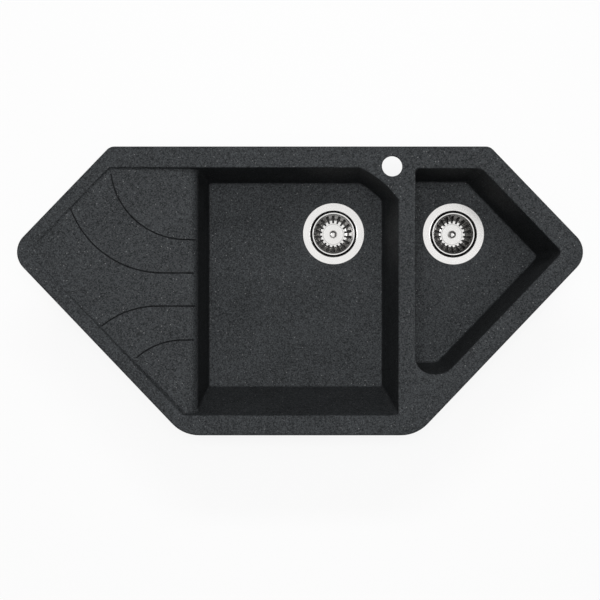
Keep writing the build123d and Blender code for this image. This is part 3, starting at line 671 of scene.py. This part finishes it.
def thread_recipe(name, material):
    """A screw thread: a ridge with a square section on edge, which winds up from each point."""
    recipe = Recipe(name, {
        "Core Radius": float,
        "Ridge Height": float,
        "Pitch": float,
        "Length": float,
        "Steps": int,
    })
    given = recipe.given
    helix = recipe.node("GeometryNodeCurveSpiral", None, {
        "Resolution": given["Steps"],
        "Rotations": given["Length"] / given["Pitch"],
        "Start Radius": given["Core Radius"],
        "End Radius": given["Core Radius"],
        "Height": given["Length"],
    })["Curve"]
    line = {"Curve": helix}
    upright = recipe.node("GeometryNodeSetCurveNormal", {"mode": "Z_UP"}, line)["Curve"]
    square = {"Resolution": 4, "Radius": given["Ridge Height"]}
    section = recipe.node("GeometryNodeCurvePrimitiveCircle", {"mode": "RADIUS"}, square)["Curve"]
    sweep = {"Curve": upright, "Profile Curve": section, "Fill Caps": True}
    ridge = recipe.node("GeometryNodeCurveToMesh", None, sweep)["Mesh"]
    placing = {"Points": given["Geometry"], "Instance": ridge}
    recipe.give(recipe.node("GeometryNodeInstanceOnPoints", None, placing)["Instances"], material)
    return recipe


def widen_slots(axis):
    """Opens the basket's slots to their full width, by turning their edges about its axis."""
    def make_changes(shape):
        pitch = 2.0 * math.pi / SLOT_COUNT
        for vertex in shape.verts:
            arm = (vertex.co - axis).xy
            if not SLOT_START - SLOT_EDGE < arm.length < SLOT_END + SLOT_EDGE:
                continue
            along = (arm.length - SLOT_START) / (SLOT_END - SLOT_START)
            cut = SLOT_WIDTHS[0] + (SLOT_WIDTHS[1] - SLOT_WIDTHS[0]) * along
            full = OPEN_SLOT_WIDTHS[0] + (OPEN_SLOT_WIDTHS[1] - OPEN_SLOT_WIDTHS[0]) * along
            angle = math.atan2(arm.y, arm.x) - math.pi / 2.0
            aside = angle - pitch * round(angle / pitch)
            if abs(aside) * arm.length > cut / 2.0 + SLOT_EDGE:
                continue
            turned = angle - aside + aside * full / cut + math.pi / 2.0
            vertex.co.xy = axis.xy + arm.length * Vector((math.cos(turned), math.sin(turned)))
    return make_changes


def turned_piece(name, axis, outline):
    """A piece turned about an upright axis, from an outline that starts and ends on the axis."""
    mesh = bpy.data.meshes.new(name)
    shape = bmesh.new()
    points = [shape.verts.new((axis.x + radius, axis.y, height)) for radius, height in outline]
    for first, second in zip(points, points[1:]):
        shape.edges.new((first, second))
    bmesh.ops.spin(
        shape, geom=[*shape.verts, *shape.edges], cent=axis, axis=UPWARDS,
        angle=2.0 * math.pi, steps=KNOB_SIDES)
    shape.to_mesh(mesh)
    shape.free()
    tidy_mesh(mesh)
    shade_evenly(mesh)
    return new_object(name, mesh)


def turn_down(axes, radius, core_radius, low, high):
    """Turns upright cylinders of this radius down to their thread's core, between two heights."""
    def make_changes(shape):
        for height in (low, low + THREAD_RUN_OUT, high - THREAD_RUN_OUT, high):
            bmesh.ops.bisect_plane(
                shape, geom=[*shape.verts, *shape.edges, *shape.faces], dist=SAME_PLACE,
                plane_co=(0.0, 0.0, height), plane_no=UPWARDS)
        bmesh.ops.remove_doubles(shape, verts=shape.verts, dist=SAME_PLACE)
        bmesh.ops.dissolve_degenerate(shape, edges=shape.edges, dist=SAME_PLACE)
        for vertex in shape.verts:
            if not low + 0.5 * THREAD_RUN_OUT < vertex.co.z < high - 0.5 * THREAD_RUN_OUT:
                continue
            for axis in axes:
                arm = (vertex.co - axis).xy
                if abs(arm.length - radius) < ON_CYLINDER:
                    vertex.co.xy = axis.xy + arm * (core_radius / radius)
    return make_changes


# ---------------------------------------------------------------- operators, one for each group
class SINK_OT_moulding(bpy.types.Operator):
    """Make the sink moulding in stone composite"""

    bl_idname = "sink.moulding"
    bl_label = "Sink Moulding"

    def execute(self, context):
        dressed_copy("sink_body", "moulding", "sink", composite())
        return {"FINISHED"}


class SINK_OT_wastes(bpy.types.Operator):
    """Make both wastes: cups, gaskets, housings with their pipe threads, screws and nuts"""

    bl_idname = "sink.wastes"
    bl_label = "Strainer Wastes"

    def execute(self, context):
        black_rubber = rubber()
        pale_plastic = moulded_plastic("pale_plastic", WASTE_PLASTIC_COLOUR)
        turned_brass = brass()
        thread = thread_recipe("pipe_thread", pale_plastic)
        for bowl in BOWLS:
            steel = satin_steel(f"satin_steel_{bowl}", middle(f"{bowl}_strainer_cup"), CUP_PAINTED_SHADE)
            finishes = {
                "strainer_cup": ("steel", steel),
                "waste_screw": ("steel", steel),
                "flange_gasket": ("rubber", black_rubber),
                "under_gasket": ("rubber", black_rubber),
                "waste_nut": ("brass", turned_brass),
            }
            for piece_name, (slot, material) in finishes.items():
                node = f"{bowl}_{piece_name}"
                dressed_copy(node, f"{node}_finish", "sink", material)
            self.make_housing(context.scene.sink_threads, bowl, thread, pale_plastic)
        return {"FINISHED"}

    def make_housing(self, settings, bowl, thread, material):
        """The housing, with its outlet turned down to the thread's core, and the thread itself."""
        outlet = mount(f"{bowl}_outlet")
        radius = outlet["dims"]["r_mm"] * MILLIMETRE
        length = outlet["dims"]["length_mm"] * MILLIMETRE
        axis = Vector(outlet["pos_m"])
        low = axis.z - length / 2.0 + THREAD_RUN_OUT
        high = axis.z + length / 2.0 - settings.outlet_pitch
        core = radius - settings.outlet_ridge
        turning = turn_down([axis], radius, core, low, high)
        node = f"{bowl}_waste_housing"
        dressed_copy(node, f"{node}_finish", "sink", material, turning)
        start = (axis.x, axis.y, low + settings.outlet_ridge)
        ridges = thread.make(f"{bowl}_outlet_thread", [start], {
            "Core Radius": core,
            "Ridge Height": settings.outlet_ridge,
            "Pitch": settings.outlet_pitch,
            "Length": high - low - 2.0 * settings.outlet_ridge,
            "Steps": OUTLET_STEPS,
        })
        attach(ridges, "sink")


class SINK_OT_baskets(bpy.types.Operator):
    """Make both lift-out baskets with their seals"""

    bl_idname = "sink.baskets"
    bl_label = "Baskets"

    def execute(self, context):
        seal_rubber = rubber()
        for bowl in BOWLS:
            steel = satin_steel(f"basket_steel_{bowl}", middle(f"{bowl}_basket"), BASKET_PAINTED_SHADE)
            finishes = {
                "basket_plate": ("steel", steel),
                "plug_washer": ("steel", steel),
                "plug_seal": ("rubber", seal_rubber),
            }
            body = f"{bowl}_basket_unit"
            for piece_name, (slot, material) in finishes.items():
                node = f"{bowl}_{piece_name}"
                dressed_copy(node, f"{node}_finish", body, material)
            node = f"{bowl}_basket"
            dressed_copy(node, f"{node}_finish", body, steel, widen_slots(middle(node)))
            self.make_knob(bowl, body)
        return {"FINISHED"}

    def make_knob(self, bowl, body):
        """The knob with its stem: a neck on the plate, and a domed head."""
        node = f"{bowl}_basket_knob"
        low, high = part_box(node)
        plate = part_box(f"{bowl}_basket_plate")[1].z
        head = high.z - KNOB_HEAD_HEIGHT
        outline = [
            (0.0, low.z),
            (KNOB_STEM_RADIUS, low.z),
            (KNOB_STEM_RADIUS, plate),
            (KNOB_NECK_RADIUS, plate),
            (KNOB_WAIST_RADIUS, (plate + head) / 2.0),
            (KNOB_NECK_RADIUS, head),
        ]
        edge = KNOB_EDGE_RADIUS
        for turn in map(math.radians, KNOB_EDGE_TURNS):
            aside, up = edge * math.sin(turn), edge * math.cos(turn)
            outline.append((KNOB_RADIUS - edge + aside, head + edge - up))
        dome = high.z - KNOB_DOME_HEIGHT
        for turn in map(math.radians, KNOB_DOME_TURNS):
            aside, up = KNOB_RADIUS * math.cos(turn), KNOB_DOME_HEIGHT * math.sin(turn)
            outline.append((aside, dome + up))
        outline.append((0.0, high.z))
        knob = turned_piece(f"{node}_finish", middle(node), outline)
        dress(knob, satin_steel(f"knob_steel_{bowl}", middle(node)))
        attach(knob, body)
        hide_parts(node)


class SINK_OT_clamps(bpy.types.Operator):
    """Make the worktop clamps with their screws and dowels"""

    bl_idname = "sink.clamps"
    bl_label = "Worktop Clamps"

    def execute(self, context):
        plating = plated_steel()
        bars = sorted(name for name in frame["bodies"] if name.startswith("clamp_"))
        for body in bars:
            node = body.removesuffix("_bar")
            dressed_copy(node, f"{node}_finish", body, plating)
        self.make_screws(context.scene.sink_threads, plating)
        dowel_plastic = moulded_plastic("dowel_plastic", DOWEL_PLASTIC_COLOUR)
        dressed_copy("clamp_dowels", "clamp_dowels_finish", "sink", dowel_plastic)
        return {"FINISHED"}

    def make_screws(self, settings, plating):
        """The clamp screws, threaded from the dowels down to their heads."""
        joints = frame["record"]["behaviour"]["joints"]
        axes = [Vector(joint["pos_m"]) for joint in joints if joint["type"] == "hinge"]
        radius = CLAMP_SCREW_RADIUS
        core = radius - settings.screw_ridge
        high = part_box("clamp_dowels")[0].z
        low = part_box("clamp_screws")[0].z + CLAMP_SCREW_HEAD
        turning = turn_down(axes, radius, core, low, high)
        dressed_copy("clamp_screws", "clamp_screws_finish", "sink", plating, turning)
        starts = [(axis.x, axis.y, low + settings.screw_ridge) for axis in axes]
        ridges = thread_recipe("screw_thread", plating).make("clamp_screw_threads", starts, {
            "Core Radius": core,
            "Ridge Height": settings.screw_ridge,
            "Pitch": settings.screw_pitch,
            "Length": high - low - 2.0 * settings.screw_ridge,
            "Steps": SCREW_STEPS,
        })
        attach(ridges, "sink")


class SINK_OT_stage(bpy.types.Operator):
    """Make the pale floor, the soft lamps and the camera"""

    bl_idname = "sink.stage"
    bl_label = "Stage"

    def execute(self, context):
        settings = context.scene.sink_stage
        self.make_floor(settings)
        self.make_lamps(settings)
        self.make_sky(settings)
        self.make_camera(settings)
        context.scene.view_settings.view_transform = "Standard"
        return {"FINISHED"}

    def make_floor(self, settings):
        """A pale floor under the outlets: white to the eye, and still with the sink's shadow."""
        low = CAD_BOX[0]
        reach = settings.floor_size / 2.0
        mesh = bpy.data.meshes.new("floor")
        sides = ((-reach, -reach), (reach, -reach), (reach, reach), (-reach, reach))
        mesh.from_pydata([(x, y, low.z) for x, y in sides], [], [(0, 1, 2, 3)])
        floor = new_object("floor", mesh)
        finish = Finish("pale_floor")
        paint = finish.node("ShaderNodeBsdfDiffuse", None, {"Color": rgba(FLOOR_PAINT)})["BSDF"]
        glow = finish.node("ShaderNodeEmission", None, {"Color": rgba(WHITE)})["Emission"]
        share = seen_directly(finish) * FLOOR_WHITENESS
        mixed = finish.node("ShaderNodeMixShader", None, {0: share, 1: paint, 2: glow})["Shader"]
        finish.node("ShaderNodeOutputMaterial", None, {"Surface": mixed})
        dress(floor, finish.material)

    def make_lamps(self, settings):
        """The soft lamps, some seen only as light and some only as glare."""
        for name, place, aim, size, seen_in, share in LAMPS:
            light = bpy.data.lights.new(name, "AREA")
            light.shape = "RECTANGLE"
            light.size, light.size_y = size
            light.energy = share * settings.lamp_power
            lamp = new_object(name, light)
            lamp.location = place
            backwards = Vector(place) - Vector(aim)
            lamp.rotation_euler = backwards.to_track_quat("Z", "Y").to_euler()
            lamp.visible_camera = False
            lamp.visible_diffuse = seen_in == "light"
            lamp.visible_glossy = seen_in == "glare"

    def make_sky(self, settings):
        """A white room to the eye and in the steel, and a faint even light on the rest."""
        world = bpy.data.worlds.new("even_light")
        world.use_nodes = True
        sky = Nodes(world.node_tree)
        sky.tree.nodes.clear()
        shown = seen_directly(sky)
        sockets = {"Color": rgba(WHITE), "Strength": shown + (1.0 - shown) * settings.fill}
        glow = sky.node("ShaderNodeBackground", None, sockets)["Background"]
        sky.node("ShaderNodeOutputWorld", None, {"Surface": glow})
        bpy.context.scene.world = world

    def make_camera(self, settings):
        """The camera straight above the sink."""
        lens = bpy.data.cameras.new("camera")
        lens.sensor_width = SENSOR_WIDTH
        lens.lens = settings.lens
        camera = new_object("camera", lens)
        camera.location = (0.0, -settings.camera_forward, settings.camera_height)
        bpy.context.scene.camera = camera


class SINK_PT_pieces(bpy.types.Panel):
    """The operators and their settings, in the 3D view's sidebar"""

    bl_label = "Corner Sink"
    bl_space_type = "VIEW_3D"
    bl_region_type = "UI"
    bl_category = "Corner Sink"

    def draw(self, context):
        for operator in OPERATORS:
            self.layout.operator(operator.bl_idname)
        for group in SETTINGS:
            box = self.layout.box()
            settings = getattr(context.scene, group)
            for name in SETTINGS[group].__annotations__:
                box.prop(settings, name)


OPERATORS = (SINK_OT_moulding, SINK_OT_wastes, SINK_OT_baskets, SINK_OT_clamps, SINK_OT_stage)
SETTINGS = {
    "sink_composite": CompositeSettings,
    "sink_steel": SteelSettings,
    "sink_threads": ThreadSettings,
    "sink_stage": StageSettings,
}


def register():
    for kind in (*SETTINGS.values(), *OPERATORS, SINK_PT_pieces):
        bpy.utils.register_class(kind)
    for name, kind in SETTINGS.items():
        setattr(bpy.types.Scene, name, bpy.props.PointerProperty(type=kind))


def unregister():
    for name in SETTINGS:
        delattr(bpy.types.Scene, name)
    for kind in reversed((*SETTINGS.values(), *OPERATORS, SINK_PT_pieces)):
        bpy.utils.unregister_class(kind)


def main():
    """Makes the sink on its stage."""
    register()
    bpy.ops.sink.moulding()
    bpy.ops.sink.wastes()
    bpy.ops.sink.baskets()
    bpy.ops.sink.clamps()
    bpy.ops.sink.stage()


if __name__ == "__main__":
    main()
